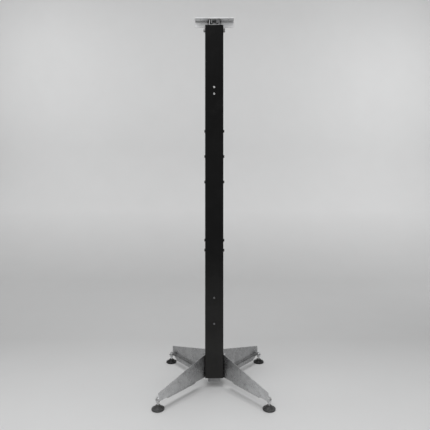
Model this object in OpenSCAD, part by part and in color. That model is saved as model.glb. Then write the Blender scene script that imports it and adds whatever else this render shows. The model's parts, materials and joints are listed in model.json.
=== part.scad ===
// Free-standing square column stand: a folded steel column on four flared
// sheet-metal legs with levelling feet, and an angle rail across its head.
// Millimetres. The origin is on the floor under the column's centre line,
// +Z is up, -Y is the front and +X is the right. Every piece is its own solid.

/* [Column] */
// Width of the square column across its front
column_w = 90; // [86:1:96]
// Depth of the column from its front to its rear lips
column_d = 90; // [86:1:96]
// Sheet thickness of the column
column_t = 2; // [1.5:0.5:2.5]
// Height of the column's lower end above the floor
column_low = 44; // [40:1:50]
// Height of the column's open upper end above the floor
column_top = 1780; // [1700:5:1900]
// Width of each lip that the rear cover is screwed to
lip_w = 17; // [15:1:20]

/* [Head] */
// Length of the angle rail across the head
rail_len = 193; // [150:1:260]
// Depth of the rail's flat top leg
rail_depth = 41; // [39:1:45]
// Height of the rail's rear leg
rail_drop = 34; // [30:1:35]
// Thickness of the rail
rail_t = 4; // [3:0.5:4]
// Distance from the column's upper end to the top of the rail
rail_rise = 36; // [36:1:50]
// Width of the channel that carries the rail
stem_w = 50; // [46:1:54]
// Distance between the centres of the two fixing holes in the rail
hole_pitch = 140; // [100:5:150]

/* [Base] */
// Distance between the foot screws, side to side and front to back
foot_pitch = 490; // [440:10:560]
// Length of each leg from its bend to its end
leg_len = 301; // [280:1:340]
// Angle of each leg, measured from the side-to-side axis
leg_angle = 50.2; // [49:0.2:52]
// Sheet thickness of the legs
leg_t = 3; // [2.5:0.5:3.5]
// Height of a leg's top edge above the floor at the column
leg_top = 156; // [140:1:180]
// Height of a leg's top edge above the floor at its end
leg_end_top = 83; // [76:1:95]
// Height of the leg flange's top face above the floor
flange_z = 46; // [44:1:48]
// Width of the flange along the foot of each leg
flange_w = 19; // [18:0.5:20]
// Depth of the stiffening lip, from the flange's top face to its lower edge
lip_drop = 18; // [14:1:22]

/* [Feet] */
// Outer diameter of a foot pad
pad_d = 57; // [50:1:64]
// Thread diameter of the foot screw
stud_d = 10; // [8:1:10]
// Diameter of the ball at the foot screw's lower end
ball_d = 12; // [11:0.5:12.5]

/* [Hidden] */

black_paint = [0.075, 0.075, 0.08];
galvanised = [0.60, 0.62, 0.63];
zinc = [0.74, 0.75, 0.74];
black_steel = [0.10, 0.10, 0.105];
black_plastic = [0.05, 0.05, 0.055];
rubber_grey = [0.13, 0.13, 0.13];
nylon = [0.86, 0.85, 0.80];

// Signs of x and y that pick a corner
left = -1;
right = 1;
front = -1;
rear = 1;

// Column
half_w = column_w/2;
half_d = column_d/2;
inner_w = half_w - column_t;
inner_front = -half_d + column_t;
column_bend = 2.5;

// Rear cover and its two columns of screws
cover_low = 170;
cover_top = column_top - 55;
cover_w = 84;
cover_t = 1.5;
cover_screw_x = 35;
cover_screw_d = 4;
cover_rows = 7;
cover_margin = 30;
cover_row_pitch = (cover_top - cover_low - 2*cover_margin)/(cover_rows - 1);
cover_screw_z = [for (i = [0:cover_rows - 1]) cover_low + cover_margin + i*cover_row_pitch];

// Channels behind the column's front wall
channel_t = 3;
channel_bend = 2;
channel_front = inner_front + channel_t/2; // mid-plane of the front wall
post_w = 60;
post_d = 40;
post_low = 27;
post_top = 470;
stem_d = 32;
stem_low = column_top - 380;
rail_top = column_top + rail_rise;
stem_top = rail_top - rail_t;

// Cross frames: [lower end, upper end] heights, and the ends of their side walls
lower_frame_z = [645, 739];
upper_frame_z = [984, 1289];
frame_t = 2;
frame_bend = 2;
frame_front = -16;
frame_rear = 15; // mid-plane of the rear wall

// Head rail
rail_front = -half_d;
rail_back = rail_front + rail_depth;
rail_bend = 2;
rail_screw_x = 14;
rail_screw_len = 20;
sink_r = 6;
sink_h = 3;

// Fixing places, heights from the floor
lower_front_z = [312, 439];
upper_front_z = [column_top - 339, column_top - 307];
lower_side_z = [667, 717];
upper_side_z = [1009, 1137, 1264];
bracket_z = [78, 132];
bracket_front_y = -20;
bracket_rear_y = 20;
head_side_z = column_top - 20;
head_side_y = -25;

// Standard fasteners: af is the width across flats
shank_gap = 0.05;
hole_len = 12; // length of every hole cutter
m6_hole_r = 3.3;
m6_af = 10;
m6_nut_h = 5;
m8_hole_r = 4.5;
m8_af = 13;
m8_head_h = 5.3;
m8_nut_h = 6.8;
m8_washer_h = 1.6;
m8_washer_bore_r = 4.2;
m10_hole_r = 5.5;
m10_af = 17;
m10_head_h = 6.4;
m10_nut_h = 8;
m10_washer_h = 2;
m10_washer_bore_r = 5.25;

// Legs: the web leaves the side plate at the bend, on the sheet's mid-plane
plate_x = half_w + leg_t/2;
bend_y = 35.8;
leg_bend = 3;
leg_dir = [cos(leg_angle), sin(leg_angle)];
lip_start = 35;
lip_taper = 26;
stub_lap = 6;
leg_seam = 0.03;
leg_spare = 5; // extra web height, cut off by the sloping top edge
slope_start = 3;
ear_r = 12;

// Foot screw's place: from the floor's centre, then along and across a leg
foot_x = foot_pitch/2;
foot_y = foot_pitch/2;
foot_rel = [foot_x - plate_x, foot_y - bend_y];
foot_along = foot_rel[0]*leg_dir[0] + foot_rel[1]*leg_dir[1];
foot_across = foot_rel[0]*leg_dir[1] - foot_rel[1]*leg_dir[0];
lip_end = foot_along - 36;

// Feet, from the floor up
run_gap = 0.05;
pad_r = pad_d/2;
sole_r = pad_r - 3;
sole_h = 3;
ball_z = 12.5;
cup_r = ball_d/2 + 2.5;
cup_low = -4.5; // from the ball's centre
cup_high = 3.4;
hub_top = ball_z + 6;
pad_mouth_r = 6.1;
neck_r = 3.5;
collar_af = 14;
collar_h = 5;
foot_washer_r = 10;
foot_washer_h = 1.6;
adjusting_nut_h = 8.4;
lock_nut_h = 5;
under_washer_z = flange_z - leg_t - foot_washer_h;
adjusting_z = under_washer_z - adjusting_nut_h;
collar_z = adjusting_z - collar_h - 0.1;
stud_top = 59;
stud_chamfer = 1;

// ---- Folded sheet: a path on the sheet's mid-plane, with true bends ----
function unit(v) = v/norm(v);
function left_of(v) = [-v[1], v[0]];
function turned(v, a) = [v[0]*cos(a) - v[1]*sin(a), v[0]*sin(a) + v[1]*cos(a)];
function backwards(list) = [for (i = [len(list) - 1:-1:0]) list[i]];

// Arc at one corner, offset to the left of the path; mid_r is the mid-plane's radius
function bend_points(before, corner, after, mid_r, offset, steps) =
    let (run_in = unit(corner - before),
         run_out = unit(after - corner),
         turn = atan2(run_in[0]*run_out[1] - run_in[1]*run_out[0], run_in*run_out),
         hand = turn >= 0 ? 1 : -1,
         normal = left_of(run_in)*hand,
         centre = corner - run_in*mid_r*tan(abs(turn)/2) + normal*mid_r)
    [for (k = [0:steps]) centre + turned(-normal, turn*k/steps)*(mid_r - hand*offset)];

function side_points(path, mid_r, offset, steps) =
    let (last = len(path) - 1,
         first_normal = left_of(unit(path[1] - path[0])),
         last_normal = left_of(unit(path[last] - path[last - 1])))
    concat([path[0] + first_normal*offset],
        [for (i = [1:last - 1])
            each bend_points(path[i - 1], path[i], path[i + 1], mid_r, offset, steps)],
        [path[last] + last_normal*offset]);

// bend_r is the radius inside each bend
module sheet(path, thick, bend_r, steps = 5) {
    mid_r = bend_r + thick/2;
    polygon(concat(side_points(path, mid_r, thick/2, steps),
        backwards(side_points(path, mid_r, -thick/2, steps))));
}

// ---- Placing: the first four turn +Z to point out of that side of the column ----
module out_right(x, y, z) translate([x, y, z]) rotate([0, 90, 0]) children();
module both_sides(x, y, z) {
    out_right(x, y, z) children();
    mirror([1, 0, 0]) out_right(x, y, z) children();
}
module out_front(y, z) translate([0, y, z]) rotate([90, 0, 0]) children();
module out_rear(x, y, z) translate([x, y, z]) rotate([-90, 0, 0]) children();
// Extrudes a [y, z] outline along +X
module along_x(start, length) {
    translate([start, 0, 0]) rotate([90, 0, 90]) linear_extrude(length) children();
}

// ---- Standard parts, each with its bearing face at z = 0 ----
module hex_prism(af, h) cylinder(d = af/cos(30), h = h, $fn = 6);
module hex_bolt(d, length, af, head_h) {
    hex_prism(af, head_h);
    translate([0, 0, -length]) cylinder(r = d/2 - shank_gap, h = length + 1, $fn = 48);
}
module hex_nut(d, af, h) {
    difference() {
        hex_prism(af, h);
        translate([0, 0, -1]) cylinder(r = d/2, h = h + 2, $fn = 48);
    }
}
module m8_bolt(length) hex_bolt(8, length, m8_af, m8_head_h);
module m8_nut() hex_nut(8, m8_af, m8_nut_h);
module m6_nut() hex_nut(6, m6_af, m6_nut_h);
module ring(outer_r, bore_r, h) {
    difference() {
        cylinder(r = outer_r, h = h, $fn = 64);
        translate([0, 0, -1]) cylinder(r = bore_r, h = h + 2, $fn = 64);
    }
}
// Domed head on a straight rim, with a hexagon socket
module pan_screw(d, length, head_d, head_h) {
    rim_h = head_h*0.45;
    dome_h = head_h*0.55;
    dome_spread = 1.6;
    socket_depth = 1.6;
    difference() {
        rotate_extrude($fn = 64) polygon([[0, 0], [head_d/2, 0], [head_d/2, rim_h],
            for (a = [15:15:75])
                [head_d/2 - dome_h*(1 - cos(a))*dome_spread, rim_h + dome_h*sin(a)],
            [0, head_h]]);
        translate([0, 0, head_h - socket_depth]) hex_prism(d*0.67, 3);
    }
    translate([0, 0, -length]) cylinder(r = d/2 - shank_gap, h = length + 0.5, $fn = 48);
}

// ---- Holes ----
module hole(r) cylinder(r = r, h = hole_len, center = true, $fn = 64);
module front_holes(y, heights) for (z = heights) out_front(y, z) hole(m6_hole_r);
module side_holes(x, heights, y = 0) for (z = heights) both_sides(x, y, z) hole(m8_hole_r);
module head_side_holes(x) both_sides(x, head_side_y, head_side_z) hole(m10_hole_r);

// ---- Column ----
module at_cover_screws(y) {
    for (x = [-cover_screw_x, cover_screw_x], z = cover_screw_z) out_rear(x, y, z) children();
}
module column_shell() {
    mid_x = half_w - column_t/2;
    mid_y = half_d - column_t/2;
    lip_x = half_w - lip_w;
    color(black_paint) difference() {
        translate([0, 0, column_low]) linear_extrude(column_top - column_low)
            sheet([[-lip_x, mid_y], [-mid_x, mid_y], [-mid_x, -mid_y],
                [mid_x, -mid_y], [mid_x, mid_y], [lip_x, mid_y]],
                column_t, column_bend, steps = 6);
        front_holes(-half_d, concat(lower_front_z, upper_front_z));
        for (y = [bracket_front_y, bracket_rear_y]) side_holes(half_w, bracket_z, y);
        side_holes(half_w, concat(lower_side_z, upper_side_z));
        head_side_holes(half_w);
        at_cover_screws(half_d) hole(2.05);
    }
}
module rear_cover() {
    color(black_paint) difference() {
        translate([-cover_w/2, half_d, cover_low])
            cube([cover_w, cover_t, cover_top - cover_low]);
        at_cover_screws(half_d) hole(2.3);
    }
}
module rear_cover_screws() {
    color(black_steel) at_cover_screws(half_d + cover_t)
        pan_screw(cover_screw_d, length = 9, head_d = 8, head_h = 2.4);
}

// ---- Base ----
// One leg in its own frame: x runs out along the leg, y is the side that the
// flange is on, z is up. It laps over a short stub of the folded plate, and
// leg_seam sets its faces clear of the stub's so that no two nearly coincide.
module leg_sheet() {
    mid_z = flange_z - leg_t/2;
    lip_y = flange_w - leg_t/2;
    web = [[0, leg_top + leg_spare], [0, mid_z]];
    translate([0, leg_seam, 0]) {
        along_x(lip_start, lip_end - lip_start)
            sheet(concat(web, [[lip_y, mid_z], [lip_y, flange_z - lip_drop]]), leg_t, leg_bend);
        along_x(lip_end, leg_len - lip_end)
            sheet(concat(web, [[flange_w, mid_z]]), leg_t, leg_bend);
    }
    // Round ear about the foot screw
    translate([foot_along, foot_across, flange_z - leg_t]) cylinder(r = ear_r, h = leg_t, $fn = 64);
}
// Cuts the web's sloping top edge
module leg_slope() {
    overrun = 10;
    cutter_h = 30;
    end_x = leg_len + overrun;
    end_z = leg_end_top - overrun*(leg_top - leg_end_top)/(leg_len - slope_start);
    rotate([90, 0, 0]) linear_extrude(30, center = true)
        polygon([[slope_start, leg_top], [end_x, end_z],
            [end_x, leg_top + cutter_h], [slope_start, leg_top + cutter_h]]);
}
// The lip runs out to nothing at each end, on a slant
module lip_slant() {
    low = flange_z - lip_drop - 1;
    high = flange_z - leg_t - 3;
    module slant(outer, inner) {
        polygon([[outer, high], [inner, low], [inner, low - 5], [outer, low - 5]]);
    }
    translate([0, flange_w + 3, 0]) rotate([90, 0, 0]) linear_extrude(10) {
        slant(lip_start - 2, lip_start + lip_taper);
        slant(lip_end + 2, lip_end - lip_taper);
    }
}
// Clears the stub from the leg's lower bend
module stub_trim() translate([lip_start, -10, 0]) cube([30, 20, flange_z + leg_bend]);

module at_front_leg() translate([plate_x, -bend_y, 0]) rotate([0, 0, -leg_angle]) children();
module at_both_legs() {
    at_front_leg() children();
    mirror([0, 1, 0]) at_front_leg() children();
}
module base_bracket_right() {
    bend = [plate_x, bend_y];
    stub = bend + leg_dir*(lip_start + stub_lap);
    color(galvanised) difference() {
        union() {
            difference() {
                translate([0, 0, flange_z]) linear_extrude(leg_top - flange_z)
                    sheet([[stub[0], -stub[1]], [bend[0], -bend[1]], bend, stub],
                        leg_t, leg_bend);
                at_both_legs() stub_trim();
            }
            at_both_legs() leg_sheet();
        }
        at_both_legs() {
            leg_slope();
            lip_slant();
        }
        for (y = [-foot_y, foot_y]) translate([foot_x, y, flange_z]) hole(stud_d/2 + 0.5);
        for (z = bracket_z, y = [bracket_front_y, bracket_rear_y])
            out_right(plate_x, y, z) hole(m8_hole_r);
    }
}
module base_bracket_left() mirror([1, 0, 0]) base_bracket_right();

// U-shaped channel against the column's front wall, open to the rear
module channel(width, depth, low, top) {
    mid_x = width/2 - channel_t/2;
    rear_y = inner_front + depth;
    translate([0, 0, low]) linear_extrude(top - low)
        sheet([[-mid_x, rear_y], [-mid_x, channel_front], [mid_x, channel_front],
            [mid_x, rear_y]], channel_t, channel_bend);
}
module base_post() {
    color(galvanised) difference() {
        channel(post_w, post_d, post_low, post_top);
        front_holes(inner_front, lower_front_z);
        side_holes(post_w/2, bracket_z, bracket_front_y);
    }
}

module bracket_bolts(y, length) {
    color(zinc) for (z = bracket_z)
        both_sides(half_w + leg_t + m8_washer_h, y, z) m8_bolt(length);
}
module bracket_bolts_front() bracket_bolts(bracket_front_y, 35);
module bracket_bolts_rear() bracket_bolts(bracket_rear_y, 20);
module bracket_washers() {
    color(zinc) for (z = bracket_z, y = [bracket_front_y, bracket_rear_y])
        both_sides(half_w + leg_t, y, z) ring(8, m8_washer_bore_r, m8_washer_h);
}
module bracket_nuts() {
    color(zinc) for (z = bracket_z) {
        both_sides(post_w/2 - channel_t - m8_nut_h, bracket_front_y, z) m8_nut();
        both_sides(inner_w - m8_nut_h, bracket_rear_y, z) m8_nut();
    }
}
module base_spacer_sleeves() {
    color(zinc) for (z = bracket_z)
        both_sides(post_w/2, bracket_front_y, z) ring(7, m8_washer_bore_r, inner_w - post_w/2);
}

// ---- Screws and nuts through the column's front wall and a channel ----
module front_screws(heights) {
    color(zinc) for (z = heights)
        out_front(-half_d, z) pan_screw(6, length = 16, head_d = 10.5, head_h = 3.3);
}
module front_nuts(heights) {
    color(zinc) for (z = heights) out_front(inner_front + channel_t + m6_nut_h, z) m6_nut();
}
module lower_front_screws() front_screws(lower_front_z);
module lower_front_nuts() front_nuts(lower_front_z);
module upper_front_screws() front_screws(upper_front_z);
module upper_front_nuts() front_nuts(upper_front_z);

// ---- Cross frames between the column's side walls ----
module cross_frame(ends, heights) {
    mid_x = inner_w - frame_t/2;
    color(galvanised) difference() {
        translate([0, 0, ends[0]]) linear_extrude(ends[1] - ends[0])
            sheet([[-mid_x, frame_front], [-mid_x, frame_rear],
                [mid_x, frame_rear], [mid_x, frame_front]], frame_t, frame_bend);
        side_holes(inner_w, heights);
    }
}
module side_bolts(heights) {
    color(black_steel) for (z = heights) both_sides(half_w, 0, z) m8_bolt(16);
}
module side_nuts(heights) {
    color(zinc) for (z = heights) both_sides(inner_w - frame_t - m8_nut_h, 0, z) m8_nut();
}
module lower_cross_frame() cross_frame(lower_frame_z, lower_side_z);
module upper_cross_frame() cross_frame(upper_frame_z, upper_side_z);
module lower_side_bolts() side_bolts(lower_side_z);
module upper_side_bolts() side_bolts(upper_side_z);
module lower_side_nuts() side_nuts(lower_side_z);
module upper_side_nuts() side_nuts(upper_side_z);

// ---- Head ----
module at_rail_screws(z) {
    for (x = [-rail_screw_x, rail_screw_x]) translate([x, head_side_y, z]) children();
}
module head_stem() {
    mid_x = stem_w/2 - channel_t/2;
    opening_z = column_top + 2;
    color(galvanised) difference() {
        union() {
            channel(stem_w, stem_d, stem_low, stem_top);
            translate([-mid_x, channel_front, stem_top - channel_t])
                cube([2*mid_x, stem_d - channel_t/2, channel_t]);
        }
        front_holes(inner_front, upper_front_z);
        head_side_holes(stem_w/2);
        at_rail_screws(stem_top) hole(m6_hole_r);
        // Above the column the channel has no front wall
        translate([-mid_x - 5, inner_front - 1, opening_z])
            cube([2*mid_x + 10, channel_t + 3.5, stem_top - channel_t - opening_z]);
    }
}
module head_rail() {
    mid_z = rail_top - rail_t/2;
    mid_y = rail_back - rail_t/2;
    color(galvanised) difference() {
        along_x(-rail_len/2, rail_len)
            sheet([[rail_front, mid_z], [mid_y, mid_z], [mid_y, rail_top - rail_drop]],
                rail_t, rail_bend, steps = 6);
        for (x = [-hole_pitch/2, hole_pitch/2])
            translate([x, head_side_y, rail_top]) hole(m6_hole_r);
        at_rail_screws(rail_top) {
            hole(m6_hole_r);
            translate([0, 0, -sink_h]) cylinder(r1 = 3, r2 = sink_r, h = sink_h, $fn = 64);
        }
    }
}
// Countersunk, with hexagon sockets
module head_rail_screws() {
    shank_r = 3 - shank_gap;
    color(zinc) at_rail_screws(rail_top) difference() {
        union() {
            translate([0, 0, -sink_h])
                cylinder(r1 = shank_r, r2 = sink_r - shank_gap, h = sink_h, $fn = 64);
            translate([0, 0, -rail_screw_len])
                cylinder(r = shank_r, h = rail_screw_len - sink_h + 1, $fn = 48);
        }
        translate([0, 0, -1.8]) hex_prism(4, 3);
    }
}
module head_rail_nuts() {
    color(zinc) at_rail_screws(stem_top - channel_t - m6_nut_h) m6_nut();
}
module at_head_sides(x) both_sides(x, head_side_y, head_side_z) children();
module head_side_bolts() {
    color(zinc) at_head_sides(half_w + m10_washer_h) hex_bolt(10, 35, m10_af, m10_head_h);
}
module head_side_washers() {
    color(zinc) at_head_sides(half_w) ring(10, m10_washer_bore_r, m10_washer_h);
}
module head_spacer_sleeves() {
    color(zinc) at_head_sides(stem_w/2) ring(9, m10_washer_bore_r, inner_w - stem_w/2);
}
module head_side_nuts() {
    color(zinc) at_head_sides(stem_w/2 - channel_t - m10_nut_h) hex_nut(10, m10_af, m10_nut_h);
}

// ---- Feet: each is drawn about the foot screw's axis, then put in place ----
module at_foot(side, end) translate([side*foot_x, end*foot_y, 0]) children();

module foot_pad(side, end) {
    rim_r = pad_r - 3.5;
    rim_top = 7;
    flank_h = 7.5;
    flank_top_r = 13;
    flank_steps = 6;
    // [radius, z]: foot and rim, then the hollow flank, then the hub
    outline = [[0, 1], [pad_r - 0.6, 1], [pad_r, 1.6], [pad_r, 5.2],
        [pad_r - 1, 6.4], [rim_r, rim_top],
        for (k = [1:flank_steps])
            [rim_r - (rim_r - flank_top_r)*k/flank_steps,
                rim_top + flank_h*pow(k/flank_steps, 1.5)],
        [12.2, 16.4], [11.6, hub_top - 0.6], [11, hub_top], [0, hub_top]];
    color(black_plastic) at_foot(side, end) difference() {
        rotate_extrude($fn = 96) polygon(outline);
        translate([0, 0, ball_z]) sphere(r = cup_r + run_gap, $fn = 96);
        translate([0, 0, ball_z]) cylinder(r = pad_mouth_r, h = 20, $fn = 64);
        cylinder(r = sole_r + run_gap, h = sole_h, $fn = 96);
    }
}
module foot_sole(side, end) {
    color(rubber_grey) at_foot(side, end) cylinder(r = sole_r, h = sole_h, $fn = 96);
}
// Hollow ball, cut flat above and below
module ball_cup(side, end) {
    cutter = 20;
    color(nylon) at_foot(side, end) translate([0, 0, ball_z]) difference() {
        sphere(r = cup_r, $fn = 96);
        sphere(r = ball_d/2 + run_gap, $fn = 96);
        for (z = [cup_high, cup_low - cutter])
            translate([0, 0, z]) cylinder(r = cutter, h = cutter, $fn = 64);
    }
}
// Ball, neck, hexagon collar and stud with a chamfered top
module foot_screw(side, end) {
    stud_r = stud_d/2;
    stud_low = collar_z + 1;
    chamfer_z = stud_top - stud_chamfer;
    color(zinc) at_foot(side, end) {
        translate([0, 0, ball_z]) sphere(r = ball_d/2, $fn = 96);
        translate([0, 0, ball_z]) cylinder(r = neck_r, h = collar_z - ball_z + 1, $fn = 48);
        translate([0, 0, collar_z]) hex_prism(collar_af, collar_h);
        translate([0, 0, stud_low]) cylinder(r = stud_r, h = chamfer_z - stud_low, $fn = 64);
        translate([0, 0, chamfer_z])
            cylinder(r1 = stud_r, r2 = stud_r - stud_chamfer, h = stud_chamfer, $fn = 64);
    }
}
module foot_nut(side, end, z, h) {
    color(zinc) at_foot(side, end) translate([0, 0, z]) difference() {
        hex_prism(m10_af, h);
        translate([0, 0, -1]) cylinder(r = stud_d/2 + run_gap, h = h + 2, $fn = 64);
    }
}
module adjusting_nut(side, end) foot_nut(side, end, adjusting_z, adjusting_nut_h);
module lock_nut(side, end) foot_nut(side, end, flange_z + foot_washer_h, lock_nut_h);
// One above and one below each leg's flange
module foot_washers() {
    color(zinc) for (side = [left, right], end = [front, rear]) at_foot(side, end)
        for (z = [flange_z, under_washer_z])
            translate([0, 0, z]) ring(foot_washer_r, stud_d/2 + 0.25, foot_washer_h);
}

column_shell();
rear_cover();
rear_cover_screws();
base_bracket_left();
base_bracket_right();
base_post();
bracket_bolts_front();
bracket_bolts_rear();
bracket_washers();
bracket_nuts();
base_spacer_sleeves();
lower_front_screws();
lower_front_nuts();
lower_cross_frame();
lower_side_bolts();
lower_side_nuts();
upper_cross_frame();
upper_side_bolts();
upper_side_nuts();
head_stem();
upper_front_screws();
upper_front_nuts();
head_rail();
head_rail_screws();
head_rail_nuts();
head_side_bolts();
head_side_washers();
head_spacer_sleeves();
head_side_nuts();
foot_washers();
foot_pad(left, front);  // foot_pad_front_left
foot_pad(right, front);  // foot_pad_front_right
foot_pad(left, rear);  // foot_pad_rear_left
foot_pad(right, rear);  // foot_pad_rear_right
foot_sole(left, front);  // foot_sole_front_left
foot_sole(right, front);  // foot_sole_front_right
foot_sole(left, rear);  // foot_sole_rear_left
foot_sole(right, rear);  // foot_sole_rear_right
ball_cup(left, front);  // ball_cup_front_left
ball_cup(right, front);  // ball_cup_front_right
ball_cup(left, rear);  // ball_cup_rear_left
ball_cup(right, rear);  // ball_cup_rear_right
foot_screw(left, front);  // foot_screw_front_left
foot_screw(right, front);  // foot_screw_front_right
foot_screw(left, rear);  // foot_screw_rear_left
foot_screw(right, rear);  // foot_screw_rear_right
adjusting_nut(left, front);  // adjusting_nut_front_left
adjusting_nut(right, front);  // adjusting_nut_front_right
adjusting_nut(left, rear);  // adjusting_nut_rear_left
adjusting_nut(right, rear);  // adjusting_nut_rear_right
lock_nut(left, front);  // lock_nut_front_left
lock_nut(right, front);  // lock_nut_front_right
lock_nut(left, rear);  // lock_nut_rear_left
lock_nut(right, rear);  // lock_nut_rear_right
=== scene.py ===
"""A black column on four adjustable feet, with galvanised brackets, post, stem and head rail.

The column stands upright near x = y = 0, +z is up and the front faces -y. The sheet parts keep
their CAD meshes, with rounded edges; fasteners and feet are built anew where the CAD has them.
The scene is in metres. Made parts are laid out in millimetres.
"""
import json
import math
from itertools import cycle

import bmesh
import bpy
import numpy as np
from mathutils import Matrix, Vector


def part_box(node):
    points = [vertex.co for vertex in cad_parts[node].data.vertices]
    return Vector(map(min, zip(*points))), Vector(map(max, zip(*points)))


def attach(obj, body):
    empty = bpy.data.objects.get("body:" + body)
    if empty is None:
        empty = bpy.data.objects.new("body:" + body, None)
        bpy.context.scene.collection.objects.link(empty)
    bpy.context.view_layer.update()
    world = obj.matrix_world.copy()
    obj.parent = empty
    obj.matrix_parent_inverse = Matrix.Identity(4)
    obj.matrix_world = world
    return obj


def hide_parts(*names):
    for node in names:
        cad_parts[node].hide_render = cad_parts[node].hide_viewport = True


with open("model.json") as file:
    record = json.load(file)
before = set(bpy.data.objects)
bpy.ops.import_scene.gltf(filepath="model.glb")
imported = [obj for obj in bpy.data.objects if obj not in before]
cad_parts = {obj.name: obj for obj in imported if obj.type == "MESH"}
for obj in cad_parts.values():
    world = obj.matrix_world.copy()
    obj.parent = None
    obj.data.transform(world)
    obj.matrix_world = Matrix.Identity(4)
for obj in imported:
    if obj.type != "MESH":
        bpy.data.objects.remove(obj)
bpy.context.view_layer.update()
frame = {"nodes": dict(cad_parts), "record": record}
nodes = frame["nodes"]
slot_of = {part["node"]: part["material_slot"] for part in frame["record"]["subparts"]}
body_of = {
    name: body
    for body, names in frame["record"]["behaviour"]["bodies"].items()
    for name in names
}
MM = 0.001


# ---------------------------------------------------------------- materials
# Parts of a noise's range, used to stretch its contrast
MIDDLE = (0.35, 0.65)
BROAD = (0.3, 0.7)


class Surface:
    """A node material in the making, in object coordinates, in metres."""

    INPUTS = {
        "color": "Base Color", "metal": "Metallic", "rough": "Roughness",
        "spec": "Specular IOR Level", "sss": "Subsurface Weight", "aniso": "Anisotropic",
    }

    def __init__(self, name):
        self.material = bpy.data.materials.new(name)
        self.material.use_nodes = True
        self.tree = self.material.node_tree
        self.tree.nodes.clear()
        output = self.node("OutputMaterial")
        self.shader = self.node("BsdfPrincipled")
        self.link(self.shader.outputs[0], output.inputs[0])
        self.place = self.node("TexCoord").outputs["Object"]
        self.normal = None

    def node(self, kind, **props):
        node = self.tree.nodes.new("ShaderNode" + kind)
        for key, value in props.items():
            setattr(node, key, value)
        return node

    def link(self, source, target):
        self.tree.links.new(source, target)

    def put(self, socket, value):
        """Links a socket to another, or sets its value."""
        if isinstance(value, bpy.types.NodeSocket):
            self.link(value, socket)
        else:
            socket.default_value = value

    def noise(self, scale, detail=3.0, rough=0.55, distortion=0.0, at=None, output="Fac"):
        node = self.node("TexNoise")
        self.link(at or self.place, node.inputs["Vector"])
        node.inputs["Scale"].default_value = scale
        node.inputs["Detail"].default_value = detail
        node.inputs["Roughness"].default_value = rough
        node.inputs["Distortion"].default_value = distortion
        return node.outputs[output]

    def cells(self, scale, at=None):
        node = self.node("TexVoronoi")
        self.link(at or self.place, node.inputs["Vector"])
        node.inputs["Scale"].default_value = scale
        return node.outputs

    def channels(self, color):
        node = self.node("SeparateColor")
        self.link(color, node.inputs[0])
        return node.outputs

    def axes(self):
        node = self.node("SeparateXYZ")
        self.link(self.place, node.inputs[0])
        return node.outputs

    def ramp(self, factor, low, high):
        """A grey ramp between two stops of (position, value)."""
        node = self.node("ValToRGB")
        self.link(factor, node.inputs["Fac"])
        for stop, (position, value) in zip(node.color_ramp.elements, (low, high)):
            stop.position = position
            stop.color = (value, value, value, 1)
        return node.outputs["Color"]

    def span(self, value, to=(0.0, 1.0), over=(0.0, 1.0)):
        """Maps a value from the range over to the range to, clamped."""
        node = self.node("MapRange")
        self.link(value, node.inputs["Value"])
        node.inputs["From Min"].default_value, node.inputs["From Max"].default_value = over
        node.inputs["To Min"].default_value, node.inputs["To Max"].default_value = to
        return node.outputs["Result"]

    def math(self, operation, first, second=0.0):
        node = self.node("Math", operation=operation)
        self.put(node.inputs[0], first)
        self.put(node.inputs[1], second)
        return node.outputs[0]

    def plus(self, first, second):
        return self.math("ADD", first, second)

    def times(self, first, second):
        return self.math("MULTIPLY", first, second)

    def mix(self, factor, first, second, blend="MIX"):
        node = self.node("Mix", data_type="RGBA", blend_type=blend)
        self.put(node.inputs["Factor"], factor)
        self.put(node.inputs[6], first)
        self.put(node.inputs[7], second)
        return node.outputs[2]

    def shade(self, color, by):
        """Multiplies a colour by a grey value."""
        return self.mix(1.0, color, by, blend="MULTIPLY")

    def lay(self, base, color, mask, amount):
        """Lays a colour over the base where the mask is, at most by the amount."""
        return self.mix(self.times(mask, amount), base, color)

    def edges(self, radius):
        """About 1 on sharp edges and 0 on flats, from the true and a rounded normal."""
        rounded = self.node("Bevel", samples=4)
        rounded.inputs["Radius"].default_value = radius
        true = self.node("NewGeometry")
        dot = self.node("VectorMath", operation="DOT_PRODUCT")
        self.link(rounded.outputs[0], dot.inputs[0])
        self.link(true.outputs["Normal"], dot.inputs[1])
        return self.span(dot.outputs["Value"], to=(1.0, 0.0), over=(0.80, 0.995))

    def crevices(self, reach, samples, over):
        """About 1 in creases and 0 in the open, from ambient occlusion."""
        node = self.node("AmbientOcclusion", samples=samples)
        node.inputs["Distance"].default_value = reach
        return self.span(node.outputs["AO"], to=(1.0, 0.0), over=over)

    def bump(self, height, strength, depth):
        """Adds a layer of relief over the earlier ones; depth is in metres."""
        node = self.node("Bump")
        node.inputs["Strength"].default_value = strength
        node.inputs["Distance"].default_value = depth
        self.link(height, node.inputs["Height"])
        if self.normal is not None:
            self.link(self.normal, node.inputs["Normal"])
        self.normal = node.outputs[0]
        self.link(self.normal, self.shader.inputs["Normal"])

    def set(self, **values):
        for key, value in values.items():
            self.put(self.shader.inputs[self.INPUTS[key]], value)


def grey(value, tint=(1, 1, 1)):
    return (value * tint[0], value * tint[1], value * tint[2], 1)


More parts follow.
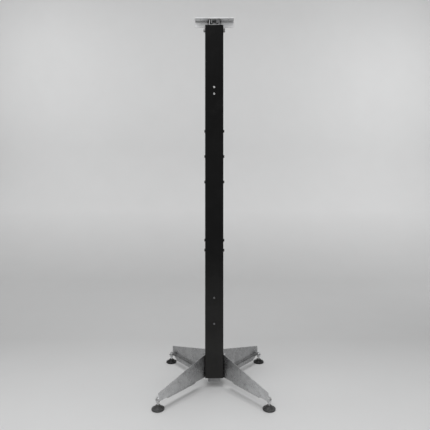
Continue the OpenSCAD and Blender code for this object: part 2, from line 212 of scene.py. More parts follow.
def powder_coat():
    m = Surface("black_powder_coat")
    cloud = m.noise(scale=5.0, detail=4, rough=0.6)
    peel = m.noise(scale=620, detail=2.5, rough=0.5)
    grain = m.noise(scale=2600, detail=2, rough=0.6)
    handled = m.noise(scale=16, detail=5, rough=0.65, distortion=0.6)
    dust = m.noise(scale=9, detail=6, rough=0.7)
    base = m.mix(m.span(cloud, over=MIDDLE), grey(0.0036), grey(0.0058, tint=(1.0, 1.0, 1.03)))
    base = m.lay(base, grey(0.016), m.span(grain, over=(0.45, 0.75)), amount=0.22)
    dust_color = grey(0.09, tint=(1.03, 1.0, 0.96))
    base = m.lay(base, dust_color, m.span(dust, over=(0.52, 0.80)), amount=0.06)
    # Painted light: a pale film, heavier towards the foot of the column, brightens it as light
    # from the floor would
    painted_floor_light = m.span(m.axes()["Z"], to=(0.24, 0.0), over=(0.2, 0.66))
    patchy = m.span(cloud, to=(0.8, 1.2), over=BROAD)
    base = m.lay(base, grey(0.085, tint=(1.02, 1.0, 0.97)), painted_floor_light, amount=patchy)
    edge = m.edges(radius=0.0006)
    patches = m.span(m.noise(scale=60, detail=5, rough=0.7), over=(0.40, 0.70))
    base = m.lay(base, grey(0.16), m.times(edge, patches), amount=0.40)
    rough = m.plus(m.span(handled, to=(0.40, 0.56), over=BROAD), m.span(peel, to=(-0.03, 0.03)))
    m.set(color=base, metal=0.0, rough=rough, spec=0.07)
    m.bump(peel, strength=0.16, depth=0.00025)
    m.bump(grain, strength=0.10, depth=0.00008)
    return m.material


def galvanised(name="galvanised_sheet", value=0.42, metal=0.95, dull=0.0, fold_shade=0.0, painted_falloff=None):
    """Spangled sheet; dull adds roughness, and the fold shade paints shade into its bends and
    inner corners.

    The falloff, if given, is painted light and shade: the brightness near the column, further out,
    and at the rear.
    """
    m = Surface(name)
    # Spangle: two sizes of cell with wavy borders
    warp = m.node("VectorMath", operation="MULTIPLY_ADD")
    m.link(m.noise(scale=70, detail=3, rough=0.5, output="Color"), warp.inputs[0])
    warp.inputs[1].default_value = (0.012, 0.012, 0.012)
    m.link(m.place, warp.inputs[2])
    big = m.cells(scale=62, at=warp.outputs[0])
    small = m.cells(scale=165, at=warp.outputs[0])
    spangle = m.channels(big["Color"])
    fine = m.channels(small["Color"])
    cloud = m.noise(scale=24, detail=5, rough=0.62, distortion=0.4)
    film = m.noise(scale=7, detail=3, rough=0.5)
    upright = m.node("Mapping")
    m.link(m.place, upright.inputs["Vector"])
    upright.inputs["Scale"].default_value = (1.0, 1.0, 0.12)
    scuff = m.noise(scale=420, detail=4, rough=0.7, at=upright.outputs[0])

    cell_tone = m.plus(m.span(spangle[0], to=(-0.055, 0.055)), m.span(fine[1], to=(-0.03, 0.03)))
    broad_tone = m.plus(m.span(cloud, to=(0.82, 1.14), over=(0.28, 0.72)),
                        m.span(film, to=(-0.05, 0.05), over=BROAD))
    tone = m.plus(cell_tone, broad_tone)
    # The ramp ends at 1, so the tone is halved on the way in and doubled on the way out
    doubled = m.ramp(m.times(tone, 0.5), low=(0.0, 0.0), high=(1.0, 2.0))
    base = m.shade(grey(value, tint=(0.995, 1.0, 1.010)), doubled)
    stain = m.noise(scale=38, detail=6, rough=0.72, distortion=1.0)
    base = m.lay(base, grey(value + 0.16), m.span(stain, over=(0.60, 0.78)), amount=0.22)
    # Painted highlight: a lighter grey on the sharp edges, as if they caught the light
    base = m.lay(base, grey(0.78), m.edges(radius=0.0007), amount=0.45)
    rough = m.plus(m.span(spangle[1], to=(0.24, 0.33)),
                   m.span(cloud, to=(-0.04, 0.06), over=BROAD))
    rough = m.plus(rough, m.span(scuff, to=(-0.04, 0.06), over=(0.35, 0.75)))
    # Painted light and shade: darker by the column and at the rear, brighter further from the
    # column towards the front feet
    if painted_falloff:
        near, far, behind = painted_falloff
        axes = m.axes()
        x, y = axes["X"], axes["Y"]
        distance = m.math("SQRT", m.plus(m.times(x, x), m.times(y, y)))
        rear = m.span(y, over=(-0.05, 0.05))
        painted_outward_light = m.span(distance, to=(near, far), over=(0.09, 0.30))
        front = m.times(painted_outward_light, m.math("SUBTRACT", 1.0, rear))
        base = m.shade(base, m.plus(front, m.times(rear, behind)))
    # Painted shade: bends and inner corners darkened, found by ambient occlusion
    if fold_shade:
        painted_fold_shade = m.crevices(reach=0.016, samples=6, over=(0.58, 0.80))
        base = m.lay(base, grey(0.02, tint=(1.0, 0.96, 0.92)), painted_fold_shade, amount=fold_shade)
    m.set(color=base, metal=metal, rough=m.plus(rough, dull), spec=0.5, aniso=0.15)
    specks = m.noise(scale=900, detail=3)
    m.bump(spangle[2], strength=0.07, depth=0.0002)
    m.bump(scuff, strength=0.10, depth=0.00010)
    m.bump(specks, strength=0.08, depth=0.00008)
    return m.material


def zinc(name="zinc_plated", tone=1.0):
    m = Surface(name)
    cloud = m.noise(scale=260, detail=4, rough=0.6)
    film = m.noise(scale=90, detail=3, rough=0.5, distortion=0.8)
    fine = m.noise(scale=3200, detail=3, rough=0.6)
    yellowish = grey(0.62 * tone, tint=(1.0, 0.995, 0.97))
    bluish = grey(0.70 * tone, tint=(0.985, 1.0, 1.03))
    base = m.mix(m.span(film, over=MIDDLE), yellowish, bluish)
    base = m.shade(base, m.ramp(cloud, low=(0.25, 0.78), high=(0.75, 1.06)))
    # Darker in the crevices, found by ambient occlusion
    crevice_darkening = m.crevices(reach=0.0018, samples=4, over=(0.35, 0.95))
    base = m.lay(base, grey(0.16, tint=(1.0, 0.97, 0.93)), crevice_darkening, amount=0.45)
    base = m.lay(base, grey(0.86 * tone), m.edges(radius=0.0004), amount=0.35)
    rough = m.plus(m.span(cloud, to=(0.24, 0.38), over=BROAD), m.span(fine, to=(-0.03, 0.05)))
    m.set(color=base, metal=0.95, rough=rough)
    m.bump(fine, strength=0.12, depth=0.00005)
    m.bump(cloud, strength=0.06, depth=0.0001)
    return m.material


def black_oxide():
    m = Surface("black_oxide_steel")
    cloud = m.noise(scale=180, detail=4, rough=0.6)
    fine = m.noise(scale=2800, detail=3, rough=0.6)
    base = m.mix(m.span(cloud, over=MIDDLE), grey(0.018), grey(0.032, tint=(1.0, 0.99, 0.96)))
    base = m.lay(base, grey(0.20), m.edges(radius=0.0005), amount=0.35)
    rough = m.plus(m.span(cloud, to=(0.30, 0.44), over=BROAD), m.span(fine, to=(-0.04, 0.05)))
    m.set(color=base, metal=0.55, rough=rough)
    m.bump(fine, strength=0.15, depth=0.00006)
    m.bump(cloud, strength=0.08, depth=0.0001)
    return m.material


def moulded_black():
    m = Surface("black_moulded_plastic")
    fine = m.cells(scale=2100)
    cloud = m.noise(scale=60, detail=4, rough=0.6)
    scuff = m.noise(scale=300, detail=5, rough=0.75, distortion=1.2)
    # Painted light: scuff marks, pale edges and extra shine go on the front feet only, so they
    # look lit, and the rear feet stay dark as in shade
    front_feet_lit = m.span(m.axes()["Y"], to=(1.0, 0.12), over=(-0.1, 0.1))
    base = m.mix(m.span(cloud, over=MIDDLE), grey(0.008), grey(0.013, tint=(1.0, 1.0, 1.02)))
    scuffed = m.span(scuff, to=(0.15, 0.62), over=(0.50, 0.76))
    base = m.lay(base, grey(0.15), front_feet_lit, amount=scuffed)
    edge = m.edges(radius=0.0008)
    base = m.lay(base, grey(0.18), edge, amount=m.times(front_feet_lit, 0.4))
    rough = m.plus(m.span(cloud, to=(0.34, 0.46), over=BROAD),
                   m.span(scuff, to=(-0.02, 0.10), over=(0.4, 0.8)))
    m.set(color=base, rough=rough, spec=m.span(front_feet_lit, to=(0.12, 0.5)))
    m.bump(fine["Distance"], strength=0.14, depth=0.00010)
    m.bump(scuff, strength=0.10, depth=0.00010)
    return m.material


def rubber():
    m = Surface("grey_rubber")
    cloud = m.noise(scale=80, detail=5, rough=0.65)
    grain = m.noise(scale=1500, detail=4, rough=0.7)
    dust = m.noise(scale=150, detail=6, rough=0.75, distortion=0.8)
    base = m.mix(m.span(cloud, over=MIDDLE), grey(0.030), grey(0.045, tint=(1.0, 0.99, 0.97)))
    dust_color = grey(0.16, tint=(1.0, 0.97, 0.92))
    base = m.lay(base, dust_color, m.span(dust, over=(0.50, 0.75)), amount=0.35)
    m.set(color=base, rough=m.span(cloud, to=(0.78, 0.92), over=BROAD), spec=0.3)
    m.bump(grain, strength=0.30, depth=0.00015)
    m.bump(dust, strength=0.10, depth=0.0001)
    return m.material


def nylon():
    m = Surface("nylon_cup")
    cloud = m.noise(scale=140, detail=4, rough=0.6)
    grain = m.noise(scale=1800, detail=3, rough=0.6)
    cream, pale = (0.70, 0.67, 0.58, 1), (0.78, 0.76, 0.69, 1)
    base = m.mix(m.span(cloud, over=MIDDLE), cream, pale)
    m.set(color=base, rough=m.span(cloud, to=(0.36, 0.48), over=BROAD), sss=0.1)
    m.shader.inputs["Subsurface Radius"].default_value = (0.002, 0.0015, 0.001)
    m.bump(grain, strength=0.12, depth=0.0001)
    return m.material


def paper():
    m = Surface("paper_sweep")
    axes = m.axes()
    # The paper is in half shade where the floor turns up into the wall
    shade = m.times(m.span(axes["Y"], over=(-0.35, 0.6)),
                    m.span(axes["Z"], to=(1.0, 0.0), over=(0.0, 0.7)))
    cool = (0.997, 1.0, 1.002)
    cloud = m.noise(scale=3.0, detail=4, rough=0.6)
    base = m.mix(cloud, grey(0.61, tint=cool), grey(0.64, tint=cool))
    m.set(color=m.shade(base, m.span(shade, to=(1.0, 0.77))), rough=0.75, spec=0.25)
    m.bump(m.noise(scale=240, detail=4, rough=0.6), strength=0.05, depth=0.0002)
    return m.material


# Material of each slot
MATERIALS = {
    "black_powder_coat": powder_coat(),
    "galvanised_sheet": galvanised(),
    "zinc_plated": zinc(),
    "black_oxide_steel": black_oxide(),
    "black_moulded_plastic": moulded_black(),
    "grey_rubber": rubber(),
    "nylon_cup": nylon(),
}
# Parts in another grade of their slot's material: a dull pale rail with painted shade in its inner
# corners, a darker stem, a post darkened as painted shade, brackets with painted light and shade
# (darker by the column and at the rear, brighter towards the front feet), and zinc darkened as
# painted shade
GRADES = {
    "head_rail": galvanised("galvanised_rail", value=0.76, metal=0.25, dull=0.28, fold_shade=1.0),
    "head_stem": galvanised("galvanised_stem", value=0.40, metal=0.80, dull=0.10),
}
for part in ("base_bracket_left", "base_bracket_right"):
    GRADES[part] = galvanised("galvanised_bracket_painted_light", painted_falloff=(0.84, 1.36, 0.89))
# Painted shade: the post is darkened, as it would be in the column's shadow
GRADES["base_post"] = galvanised("galvanised_post_painted_shade", value=0.24, metal=0.85, dull=0.08)
# Painted shade: the front screws are darkened, the lower ones much more
GRADES["upper_front_screws"] = zinc("zinc_upper_screws_painted_shade", tone=0.80)
GRADES["lower_front_screws"] = zinc("zinc_lower_screws_painted_shade", tone=0.21)
# Painted shade: a darker zinc on these bolts and washers, which damps their glints
for part in ("head_side_bolts", "head_side_washers", "bracket_bolts_rear"):
    GRADES[part] = zinc("zinc_painted_shade", tone=0.42)


def material_for(part):
    return GRADES.get(part, MATERIALS[slot_of[part]])


# ------------------------------------------------------------- mesh building
COLUMNS = 48  # points around a ring


class Shape:
    """Closed surfaces made of rings of points, in millimetres."""

    def __init__(self):
        self.points = []
        self.faces = []

    def add_points(self, rings, pose):
        first = len(self.points)
        self.points += [pose @ Vector(point) for ring in rings for point in ring]
        return first

    def add_caps(self, first, count, size):
        last = first + (count - 1) * size
        self.faces.append(tuple(first + j for j in reversed(range(size))))
        self.faces.append(tuple(last + j for j in range(size)))

    def add(self, rings, pose, loop=False):
        """Joins rings in turn; a loop goes back to its first ring, the rest are capped."""
        size = len(rings[0])
        count = len(rings)
        first = self.add_points(rings, pose)
        for i in range(count if loop else count - 1):
            here, after = first + i * size, first + ((i + 1) % count) * size
            for j in range(size):
                k = (j + 1) % size
                self.faces.append((here + j, here + k, after + k, after + j))
        if not loop:
            self.add_caps(first, count, size)

    def add_threaded(self, plain, rows, per_turn, pose):
        """Joins plain rings to thread rows. Around the seam the rows meet one turn apart."""
        size, end = COLUMNS, COLUMNS - 1
        count = len(plain) + len(rows)
        first = self.add_points(plain + rows, pose)
        for i in range(count - 1):
            here, after = first + i * size, first + (i + 1) * size
            for j in range(end):
                self.faces.append((here + j, here + j + 1, after + j + 1, after + j))
            turn = per_turn * size
            if i < len(plain) - 1:
                self.faces.append((here + end, here, after, after + end))
            elif i == len(plain) - 1:
                # The last plain ring meets the first thread row, still on the flat end
                self.faces.append((here + end, here, after + turn, after + end))
            elif i + per_turn + 1 < count:
                self.faces.append((here + end, here + turn, after + turn, after + end))
        self.add_caps(first, count, size)

    def piece(self, part, smooth=28.0):
        """Makes the object that stands for a CAD part; smooth is the sharp edge limit, degrees."""
        scale = Matrix.Scale(MM, 4)
        mesh = bpy.data.meshes.new(part + "_made")
        mesh.from_pydata([scale @ point for point in self.points], [], self.faces)
        bm = bmesh.new()
        bm.from_mesh(mesh)
        bmesh.ops.remove_doubles(bm, verts=bm.verts, dist=2e-6)
        bmesh.ops.dissolve_degenerate(bm, edges=bm.edges, dist=1e-6)
        bmesh.ops.recalc_face_normals(bm, faces=bm.faces)
        limit = math.radians(smooth)
        for face in bm.faces:
            face.smooth = True
        for edge in bm.edges:
            if len(edge.link_faces) == 2:
                edge.smooth = edge.calc_face_angle(0.0) < limit
        bm.to_mesh(mesh)
        bm.free()
        mesh.materials.append(material_for(part))
        obj = bpy.data.objects.new(part + "_made", mesh)
        bpy.context.scene.collection.objects.link(obj)
        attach(obj, body_of[part])
        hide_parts(part)


def polar(radius, j, z, columns=COLUMNS):
    angle = 2 * math.pi * j / columns
    return (radius * math.cos(angle), radius * math.sin(angle), z)


def circle(radius, z, columns=COLUMNS):
    return [polar(radius, j, z, columns) for j in range(columns)]


def turned(stations, columns=COLUMNS):
    """Circles from a profile of (radius, z)."""
    return [circle(radius, z, columns) for radius, z in stations]


def arc(radius, start, end, z=0.0, steps=12):
    """A (radius, z) profile along a sphere centred at z, between two angles in radians."""
    angles = [start + (end - start) * i / steps for i in range(steps + 1)]
    return [(radius * math.cos(a), z + radius * math.sin(a)) for a in angles]


CORNER_CUT = 0.25      # taken off a hexagon's corners
CHAMFER_SLOPE = 0.577  # of the turned chamfer on a hexagon's ends


def hexagon(across, z, slope=0.0, flat_radius=0.0):
    """A hexagon's ring; slope tips the corners beyond flat_radius off the face."""
    corner = across / 2 / math.cos(math.radians(30)) - CORNER_CUT
    ring = []
    for j in range(COLUMNS):
        off_flat = (360.0 * j / COLUMNS) % 60.0 - 30.0
        radius = min(across / 2 / math.cos(math.radians(off_flat)), corner)
        ring.append(polar(radius, j, z + max(0.0, radius - flat_radius) * slope))
    return ring


def hex_band(across, low, high, flat_radius):
    """The sides of a hexagonal body, chamfered at both ends."""
    return [
        circle(flat_radius, low),
        hexagon(across, low, CHAMFER_SLOPE, flat_radius),
        hexagon(across, high, -CHAMFER_SLOPE, flat_radius),
        circle(flat_radius, high),
    ]


def thread_rows(radius, low, high, pitch, end_chamfer, run_in):
    """Rows of a helical V thread, cut off square at both ends, and the rows per turn."""
    root = radius - 0.61 * pitch
    # (share of the pitch, radius)
    profile = [(0.0, root), (0.10, root), (0.46, radius), (0.56, radius), (0.96, root)]
    per_turn = len(profile)
    turns = int(math.ceil((high - low) / pitch)) + 3
    rows = []
    for i in range(-per_turn * 2, per_turn * turns):
        share, wanted = profile[i % per_turn]
        ring = []
        for j in range(COLUMNS):
            z = low + (i // per_turn + share + j / COLUMNS) * pitch
            cut_z = min(max(z, low), high)
            here = min(
                wanted,
                radius - max(0.0, end_chamfer - (high - cut_z)),
                root + (cut_z - low) / run_in * (radius - root),
            )
            if z < low:
                here = min(here, root)
            elif z > high:
                here = min(here, radius - end_chamfer)
            ring.append(polar(here, j, cut_z))
        rows.append(ring)
    return rows, per_turn


# ---------------------------------------------------------------- fasteners
# Sizes in mm by thread diameter. Screws lie along z with z = 0 under the head.
ACROSS = {6: 10, 8: 13, 10: 17}       # across the flats of bolt heads and nuts
HEX_HEAD = {8: 5.3, 10: 6.4}          # bolt head height
PAN_WIDTH = {4: 8, 6: 10.5}           # pan head diameter
PAN_HEAD = {4: 2.4, 6: 3.3}           # pan head height
PAN_SOCKET_DEPTH = {4: 1.2, 6: 1.55}
CLEARANCE = {8: 4.2, 10: 5.25}        # bore radius of washers and sleeves
SHANK_PLAY = 0.05                     # shank radius below nominal
HEX_FLAT = 0.955                      # end face of a hexagon, as a share of its half width


def hex_bolt(diameter, length):
    shank = diameter / 2 - SHANK_PLAY
    across, head = ACROSS[diameter], HEX_HEAD[diameter]
    flat = across / 2 * HEX_FLAT
    return (
        turned([(shank - 0.9, -length), (shank, -length + 0.9), (shank, -0.5),
                (shank + 0.25, -0.1), (shank + 0.3, 0.0), (flat - 0.2, 0.0)])
        + hex_band(across, 0.12, head, flat)
        + turned([(flat * 0.80, head), (flat * 0.74, head - 0.18), (flat * 0.25, head - 0.24)])
    )


def hex_nut(diameter, height, bore=None):
    bore = bore or diameter / 2
    across = ACROSS[diameter]
    return (
        turned([(bore, 0.55), (bore + 0.6, 0.0)])
        + hex_band(across, 0.0, height, across / 2 * HEX_FLAT)
        + turned([(bore + 0.6, height), (bore, height - 0.55), (bore, height / 2)])
    )


def washer(outer, bore, height):
    """A stamped ring, rounder on its upper outer edge."""
    edge = min(0.18, height / 5)
    return turned([
        (bore + edge, 0.0), (outer - edge * 2, 0.0), (outer, edge), (outer, height - edge * 1.6),
        (outer - edge * 1.6, height), (bore + edge, height), (bore, height - edge), (bore, edge),
    ])


def sleeve(outer, bore, height):
    edge = 0.5
    return turned([
        (bore + edge, 0.0), (outer - edge, 0.0), (outer, edge), (outer, height - edge),
        (outer - edge, height), (bore + edge, height), (bore, height - edge), (bore, edge),
    ])


def hex_socket(across, z, depth):
    """From the rim of a hexagon socket down to its floor."""
    rim = across / 2 / math.cos(math.radians(30)) + 0.12
    floor = z - depth
    return [
        circle(rim, z), hexagon(across, z - 0.22), hexagon(across, floor),
        circle(across * 0.30, floor - 0.25), circle(across * 0.06, floor - 0.45),
    ]


def pan_screw(diameter, length):
    shank = diameter / 2 - SHANK_PLAY
    rim, head = PAN_WIDTH[diameter] / 2, PAN_HEAD[diameter]
    profile = [(shank - 0.7, -length), (shank, -length + 0.7), (shank, -0.4), (shank + 0.25, 0.0),
               (rim - 0.15, 0.0), (rim, 0.18), (rim, head * 0.45)]
    for degrees in (15, 30, 45, 60, 75):
        angle = math.radians(degrees)
        profile.append((rim - head * 0.55 * (1 - math.cos(angle)) * 1.6,
                        head * 0.45 + head * 0.53 * math.sin(angle)))
    return turned(profile) + hex_socket(diameter * 0.67, head - 0.02, PAN_SOCKET_DEPTH[diameter])


def sunk_screw(length):
    """A countersunk screw, with z = 0 at the top of its head."""
    profile = [(2.2, -length), (2.95, -length + 0.75), (2.95, -3.0),
               (5.75, -0.22), (5.8, -0.08), (5.68, -0.02)]
    return turned(profile) + hex_socket(4.0, -0.02, 1.75)


def islands(part):
    """(low, high) in mm of each separate solid of a CAD part."""
    mesh = nodes[part].data
    points = np.zeros(len(mesh.vertices) * 3)
    mesh.vertices.foreach_get("co", points)
    points = points.reshape(-1, 3)
    first_at = {}
    same = [first_at.setdefault(tuple(np.round(point * 1e5).astype(int)), i)
            for i, point in enumerate(points)]
    parent = {i: i for i in set(same)}

    def top(i):
        while parent[i] != i:
            parent[i] = parent[parent[i]]
            i = parent[i]
        return i

    for edge in mesh.edges:
        start, end = top(same[edge.vertices[0]]), top(same[edge.vertices[1]])
        if start != end:
            parent[start] = end
    groups = {}
    for i in parent:
        groups.setdefault(top(i), []).append(i)
    boxes = []
    for group in groups.values():
        solid = points[group] * 1000
        boxes.append((solid.min(0), solid.max(0)))
    return sorted(boxes, key=lambda box: tuple(np.round(box[0], 2)))


# Ways a part can face: its axis, the sign along it, and the turn that takes +z there
WAYS = {
    "+x": (0, 1, Matrix.Rotation(math.radians(90), 4, "Y")),
    "-x": (0, -1, Matrix.Rotation(math.radians(-90), 4, "Y")),
    "front": (1, -1, Matrix.Rotation(math.radians(90), 4, "X")),
    "rear": (1, 1, Matrix.Rotation(math.radians(-90), 4, "X")),
    "up": (2, 1, Matrix.Identity(4)),
}
# Degrees that fasteners are turned about their own axes, so that no two neighbours match
SPINS = [7.0, 23.0, 41.0, 12.0, 52.0, 33.0, 3.0, 28.0]


def facing(way, place, spin=0.0):
    turn = WAYS[way][2]
    return Matrix.Translation(place) @ turn @ Matrix.Rotation(math.radians(spin), 4, "Z")


def screws(part, rings_for, head, way=None):
    """Screws with heads of a given height; with no way, each faces out along x."""
    shape = Shape()
    for (low, high), spin in zip(islands(part), cycle(SPINS)):
        heads_to = way or ("+x" if low[0] + high[0] > 0 else "-x")
        axis, sign, _ = WAYS[heads_to]
        place = ((low + high) / 2).tolist()
        place[axis] = high[axis] - head if sign > 0 else low[axis] + head
        rings = rings_for(high[axis] - low[axis] - head)
        shape.add(rings, facing(heads_to, place, spin))
    shape.piece(part)


def collars(part, way, rings_for):
    """Nuts or rings, from a function of their height and outer radius."""
    shape = Shape()
    axis, sign, _ = WAYS[way]
    across = (axis + 1) % 3
    for low, high in islands(part):
        place = ((low + high) / 2).tolist()
        place[axis] = low[axis] if sign > 0 else high[axis]
        rings = rings_for(high[axis] - low[axis], (high[across] - low[across]) / 2)
        shape.add(rings, facing(way, place), loop=True)
    shape.piece(part)


def bolts(part, diameter):
    screws(part, lambda length: hex_bolt(diameter, length), HEX_HEAD[diameter])


def pan_screws(part, diameter, way):
    screws(part, lambda length: pan_screw(diameter, length), PAN_HEAD[diameter], way)


def nuts(part, diameter, way="+x"):
    collars(part, way, lambda height, outer: hex_nut(diameter, height))


def spacers(part, diameter, section=washer, way="+x"):
    collars(part, way, lambda height, outer: section(outer, CLEARANCE[diameter], height))


for part in ("bracket_bolts_front", "bracket_bolts_rear", "lower_side_bolts", "upper_side_bolts"):
    bolts(part, 8)
bolts("head_side_bolts", 10)
for part in ("bracket_nuts", "lower_side_nuts", "upper_side_nuts"):
    nuts(part, 8)
nuts("head_side_nuts", 10)
spacers("bracket_washers", 8)
spacers("head_side_washers", 10)
spacers("base_spacer_sleeves", 8, section=sleeve)
spacers("head_spacer_sleeves", 10, section=sleeve)
for part in ("lower_front_screws", "upper_front_screws"):
    pan_screws(part, 6, way="front")
for part in ("lower_front_nuts", "upper_front_nuts"):
    nuts(part, 6, way="front")
pan_screws("rear_cover_screws", 4, way="rear")
screws("head_rail_screws", sunk_screw, head=0.0, way="up")
nuts("head_rail_nuts", 6, way="up")
spacers("foot_washers", 10, way="up")


# ---------------------------------------------------------------------- feet
BALL_RADIUS = 6.0
BALL_ANGLES = (-88, -80, -70, -60, -50, -40, -30, -20, -10, 0, 10, 20, 30, 40, 48, 54)
NECK_RADIUS = 3.5
COLLAR_ACROSS, COLLAR_FLAT, COLLAR_HEIGHT = 14, 6.6, 5.0
THREAD_LENGTH, THREAD_RADIUS, THREAD_PITCH = 26.1, 4.95, 1.5
FOOT_NUT_BORE = 5.02

PAD_COLUMNS = 144
PAD_SPIN = 11         # degrees
PAD_RIBS = 8
RIB_HEIGHT = 0.95
PAD_LIFT = 1.0        # underside rim of the pad above its own z = 0
SLOPE_INSET = 3.8     # the sloped top starts this far in from the rim
SLOPE_INNER = 13.4    # and ends at this radius, at the socket wall
SLOPE_STEPS = 12
SOCKET_RADIUS, SOCKET_MOUTH, SOCKET_Z = 8.55, 6.1, 12.5

SOLE_COLUMNS = 96
GROOVES = (3.8, 7.6, 11.4, 15.2, 19.0, 22.8)  # radii of the grooves in the sole

CUP_OUTER, CUP_INNER = 8.5, 6.05
CUP_BELOW, CUP_ABOVE = 4.5, 3.4  # extent of the cup from its ball's centre


def upright(part):
    """Axis x and y, bottom, top and radius, in mm, of a CAD part that stands upright."""
    low, high = (Vector(corner) * 1000 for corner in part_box(part))
    return (low.x + high.x) / 2, (low.y + high.y) / 2, low.z, high.z, (high.x - low.x) / 2


def spin_of(part):
    return SPINS[sum(ord(letter) for letter in part) % len(SPINS)]


def foot_screw(part):
    """A ball, a neck, a hexagonal collar and a threaded stud, from the bottom up."""
    x, y, bottom, top, _ = upright(part)
    ball_z = bottom + BALL_RADIUS
    collar_top = top - THREAD_LENGTH
    collar_low = collar_top - COLLAR_HEIGHT
    profile = []
    for degrees in BALL_ANGLES:
        angle = math.radians(degrees)
        profile.append((BALL_RADIUS * math.cos(angle), ball_z + BALL_RADIUS * math.sin(angle)))
    profile += [(NECK_RADIUS, ball_z + 4.95), (NECK_RADIUS, collar_low - 0.5),
                (NECK_RADIUS + 0.5, collar_low)]
    plain = turned(profile) + hex_band(COLLAR_ACROSS, collar_low, collar_top, COLLAR_FLAT)
    rows, per_turn = thread_rows(THREAD_RADIUS, collar_top, top, THREAD_PITCH,
                                 end_chamfer=1.0, run_in=1.2)
    shape = Shape()
    shape.add_threaded(plain, rows, per_turn, facing("up", (x, y, 0), spin_of(part)))
    shape.piece(part, smooth=35)


def ribbed_ring(radius, z, rib):
    """A pad ring, raised by rib at each of the narrow radial ribs."""
    ring = []
    for j in range(PAD_COLUMNS):
        wave = math.cos(PAD_RIBS * (2 * math.pi * j / PAD_COLUMNS))
        lift = wave ** 40 if wave > 0 else 0.0
        ring.append(polar(radius, j, z + rib * lift, PAD_COLUMNS))
    return ring


def foot_pad(part):
    """A ribbed dish with a recess for the sole below and a ball socket on top."""
    x, y, bottom, top, rim = upright(part)
    seat = rim - 2.95
    # (radius, z) from the middle of the underside, round the rim, to the sloped top
    underside_and_rim = [
        (0.4, 3.0), (seat - 0.25, 3.0), (seat, 2.8), (seat, 1.2), (seat + 0.25, 1.0),
        (rim - 0.7, 1.0), (rim - 0.2, 1.2), (rim, 1.7), (rim, 2.6), (rim - 0.35, 2.9),
        (rim - 0.35, 3.3), (rim, 3.6), (rim, 5.0), (rim - 0.25, 5.6), (rim - 0.8, 6.1),
        (rim - 1.8, 6.35), (rim - 2.6, 6.4), (rim - 2.9, 6.15), (rim - 3.4, 6.15),
    ]
    slope = []
    slope_outer = rim - SLOPE_INSET
    for k in range(SLOPE_STEPS + 1):
        share = k / SLOPE_STEPS
        radius = slope_outer - (slope_outer - SLOPE_INNER) * share
        rib = RIB_HEIGHT * min(1.0, 6 * share, 7 * (1 - share))
        slope.append(ribbed_ring(radius, 6.35 + 8.3 * share ** 1.6, rib))
    socket_wall = [
        (12.7, 15.1), (12.1, 16.2), (11.9, top - 0.9), (11.5, top - 0.25), (10.8, top),
        (7.2, top), (6.5, top - 0.35), (6.15, top - 0.9),
    ]
    mouth = math.acos(SOCKET_MOUTH / SOCKET_RADIUS)
    socket = arc(SOCKET_RADIUS, mouth, math.radians(-86), z=SOCKET_Z)
    rings = (turned(underside_and_rim, PAD_COLUMNS) + slope
             + turned(socket_wall + socket, PAD_COLUMNS))
    shape = Shape()
    shape.add(rings, facing("up", (x, y, bottom - PAD_LIFT), PAD_SPIN))
    shape.piece(part, smooth=32)


def foot_sole(part):
    """A disc with ring grooves in its underside."""
    x, y, bottom, _, rim = upright(part)
    profile = [(0.4, 0.0)]
    for groove in GROOVES:
        profile += [(groove - 0.9, 0.0), (groove - 0.65, 0.9),
                    (groove + 0.65, 0.9), (groove + 0.9, 0.0)]
    profile += [(rim - 0.5, 0.0), (rim - 0.1, 0.25), (rim, 0.6), (rim, 2.6),
                (rim - 0.2, 2.95), (rim - 0.6, 3.0), (0.4, 3.0)]
    shape = Shape()
    shape.add(turned(profile, SOLE_COLUMNS), facing("up", (x, y, bottom)))
    shape.piece(part, smooth=30)


def ball_cup(part):
    """A band of a hollow sphere, open at both ends."""
    x, y, bottom, _, _ = upright(part)
    outer_top = math.asin(CUP_ABOVE / CUP_OUTER)
    outer = arc(CUP_OUTER, math.asin(-CUP_BELOW / CUP_OUTER), outer_top)
    lip = [(CUP_OUTER * math.cos(outer_top) - 0.5, CUP_ABOVE)]
    inner = arc(CUP_INNER, math.asin(CUP_ABOVE / CUP_INNER), math.asin(-CUP_BELOW / CUP_INNER))
    shape = Shape()
    shape.add(turned(outer + lip + inner), facing("up", (x, y, bottom + CUP_BELOW)), loop=True)
    shape.piece(part, smooth=30)


def foot_nut(part):
    x, y, bottom, top, _ = upright(part)
    shape = Shape()
    rings = hex_nut(10, top - bottom, FOOT_NUT_BORE)
    shape.add(rings, facing("up", (x, y, bottom), spin_of(part)), loop=True)
    shape.piece(part)


for corner in ("front_left", "front_right", "rear_left", "rear_right"):
    foot_screw("foot_screw_" + corner)
    foot_pad("foot_pad_" + corner)
    foot_sole("foot_sole_" + corner)
    ball_cup("ball_cup_" + corner)
    foot_nut("adjusting_nut_" + corner)
    foot_nut("lock_nut_" + corner)


# --------------------------------------------------------------- sheet parts
def soften(part, width=0.35 * MM, angle=32.0):
    """Welds split vertices and rounds the sheared edges by modifiers, on the CAD mesh."""
    obj = nodes[part]
    obj.data.materials.clear()
    obj.data.materials.append(material_for(part))
    for face in obj.data.polygons:
        face.material_index = 0
    weld = obj.modifiers.new("weld", "WELD")
    weld.merge_threshold = 2e-6
    bevel = obj.modifiers.new("round", "BEVEL")
    bevel.width = width
    bevel.segments = 2
    bevel.limit_method = "ANGLE"
    bevel.angle_limit = math.radians(angle)
    bevel.use_clamp_overlap = True
    bevel.harden_normals = False
    normals = obj.modifiers.new("normals", "WEIGHTED_NORMAL")
    normals.keep_sharp = True
    normals.weight = 80


for part in ("column_shell", "rear_cover", "base_bracket_left", "base_bracket_right", "base_post",
             "lower_cross_frame", "upper_cross_frame", "head_stem", "head_rail"):
    soften(part)

# --------------------------------------------------------------------- stage
FLOOR_FRONT, FLOOR_REAR = -4.5, 2.2
CURVE_RADIUS, CURVE_STEPS = 1.6, 24
WALL_TOP = 6.0
SWEEP_HALF_WIDTH = 7.0


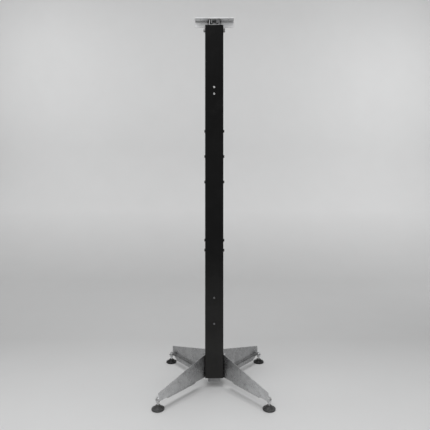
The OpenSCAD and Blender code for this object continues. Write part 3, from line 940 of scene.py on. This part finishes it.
def paper_sweep():
    """A seamless paper sweep: floor, a wide curve, then a wall."""
    profile = [(FLOOR_FRONT, 0.0), (FLOOR_REAR, 0.0)]
    for k in range(1, CURVE_STEPS + 1):
        angle = math.radians(90 * k / CURVE_STEPS)
        profile.append((FLOOR_REAR + CURVE_RADIUS * math.sin(angle),
                        CURVE_RADIUS - CURVE_RADIUS * math.cos(angle)))
    profile.append((FLOOR_REAR + CURVE_RADIUS, WALL_TOP))
    points = []
    for y, z in profile:
        points += [(-SWEEP_HALF_WIDTH, y, z), (SWEEP_HALF_WIDTH, y, z)]
    faces = [(2 * i - 2, 2 * i - 1, 2 * i + 1, 2 * i) for i in range(1, len(profile))]
    mesh = bpy.data.meshes.new("paper_sweep")
    mesh.from_pydata(points, [], faces)
    for face in mesh.polygons:
        face.use_smooth = True
    mesh.materials.append(paper())
    obj = bpy.data.objects.new("paper_sweep", mesh)
    bpy.context.scene.collection.objects.link(obj)


def area_light(name, place, aim, width, height, power):
    light = bpy.data.lights.new(name, "AREA")
    light.shape = "RECTANGLE"
    light.size = width
    light.size_y = height
    light.energy = power
    obj = bpy.data.objects.new(name, light)
    bpy.context.scene.collection.objects.link(obj)
    obj.location = place
    obj.rotation_mode = "QUATERNION"
    obj.rotation_quaternion = (Vector(aim) - Vector(place)).to_track_quat("-Z", "Y")


# name, place, point aimed at, width, height (metres), power (watts)
LIGHTS = [
    ("key", (-1.3, -1.2, 3.6), (0.0, 0.1, 0.2), 1.6, 1.6, 24),
    ("top", (0.15, 0.15, 3.7), (0.0, 0.05, 0.0), 1.3, 1.3, 42),
    ("front", (0.2, -4.2, 1.3), (0.0, 0.0, 1.3), 3.2, 1.6, 24),
    ("floor", (0.1, -3.0, 3.5), (0.1, -2.4, 0.0), 3.0, 1.6, 24),
    ("wall", (0.0, 1.2, 4.2), (0.0, 3.8, 2.2), 5.5, 1.2, 34),
    ("wall_left", (-2.75, 1.7, 2.7), (-2.75, 3.8, 1.7), 1.2, 2.6, 20),
    ("wall_right", (2.75, 1.7, 2.4), (2.75, 3.8, 1.4), 1.2, 2.6, 23),
]
WORLD_STRENGTH = 0.42

paper_sweep()
for light in LIGHTS:
    area_light(*light)
world = bpy.data.worlds.new("studio")
world.use_nodes = True
background = world.node_tree.nodes["Background"]
background.inputs[0].default_value = (1.0, 1.0, 1.0, 1)
background.inputs[1].default_value = WORLD_STRENGTH
scene = bpy.context.scene
scene.world = world
scene.view_settings.view_transform = "Standard"
scene.view_settings.look = "None"

# -------------------------------------------------------------------- camera
# Level, looking along +y; the shifts slide the picture without tilting the camera
camera = bpy.data.cameras.new("camera")
camera.sensor_width = 36.0
camera.sensor_fit = "HORIZONTAL"
camera.lens = 33.55
camera.shift_x = -0.01245
camera.shift_y = -0.05455
camera.clip_start = 0.05
camera.clip_end = 50.0
eye = bpy.data.objects.new("camera", camera)
eye.location = (0.0301, -2.0126, 0.9611)
eye.rotation_euler = (math.radians(90), 0.0, 0.0)
scene.collection.objects.link(eye)
scene.camera = eye
